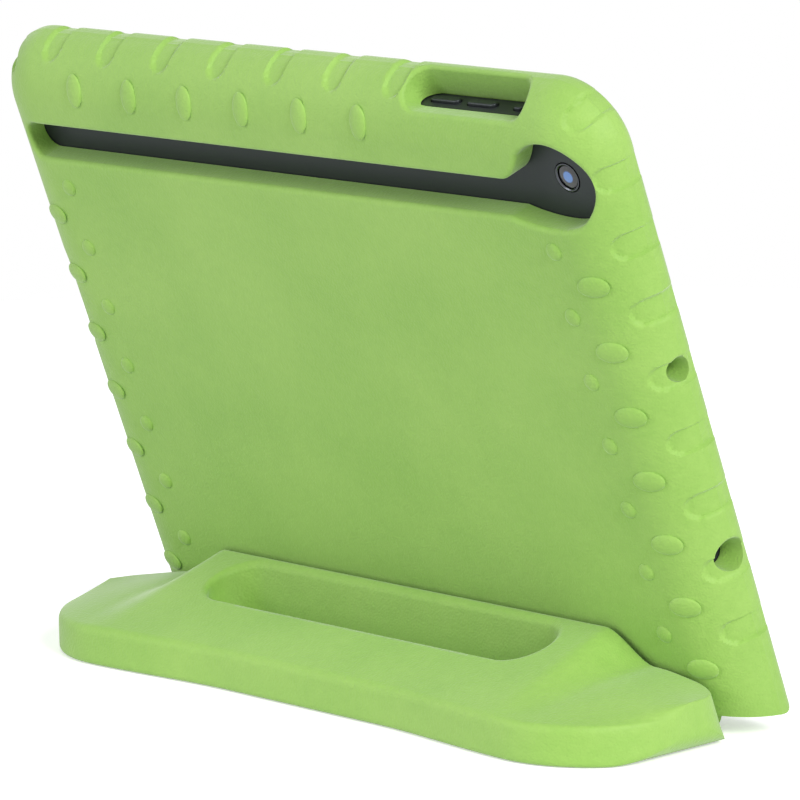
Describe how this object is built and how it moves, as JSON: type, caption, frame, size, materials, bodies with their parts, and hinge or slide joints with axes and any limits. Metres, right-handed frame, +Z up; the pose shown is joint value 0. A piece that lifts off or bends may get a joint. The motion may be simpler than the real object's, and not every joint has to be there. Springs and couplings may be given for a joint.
{
  "type": "kids tablet case",
  "caption": "Foam bumper case holding a tablet, leaning back on a wide folding stand that turns down to become the carrying handle.",
  "frame": {"origin": "middle of the footprint, on the surface the case stands on", "axes": "+X along the case, towards the end without the camera; +Y towards the back; +Z up"},
  "size_m": [0.246, 0.0808, 0.1877],
  "materials": {
    "green_foam": "matte moulded foam with a fine skin",
    "slate_metal": "satin anodised",
    "cover_glass": "polished",
    "lens_glass": "coated and polished",
    "lens_metal": "turned",
    "black_plastic": "moulded",
    "steel": "drawn"
  },
  "bodies": {
    "case": {"foam_case": "green_foam", "tablet_housing": "slate_metal", "front_glass": "cover_glass", "display_panel": "black_plastic", "battery_pack": "black_plastic", "lens_ring": "lens_metal", "lens_glass": "lens_glass", "jack_liner": "black_plastic", "charging_socket": "steel", "hinge_rod": "steel"},
    "stand": {"stand_handle": "green_foam"},
    "volume_up": {"volume_up_button": "slate_metal"},
    "volume_down": {"volume_down_button": "slate_metal"},
    "switch": {"side_switch": "slate_metal"}
  },
  "joints": [
    {"name": "stand_fold", "type": "hinge", "parent": "case", "child": "stand", "pos_m": [0, -0.02141, 0.006], "axis": [-1, 0, 0], "range_deg": [0, 110.5]},
    {"name": "volume_up_press", "type": "slide", "parent": "case", "child": "volume_up", "axis": [0, -0.3502, -0.9367], "range_m": [0, 0.0005], "stiffness_N_per_m": 600},
    {"name": "volume_down_press", "type": "slide", "parent": "case", "child": "volume_down", "axis": [0, -0.3502, -0.9367], "range_m": [0, 0.0005], "stiffness_N_per_m": 600},
    {"name": "side_switch_slide", "type": "slide", "parent": "case", "child": "switch", "axis": [-1, 0, 0], "range_m": [0, 0.0016]}
  ]
}
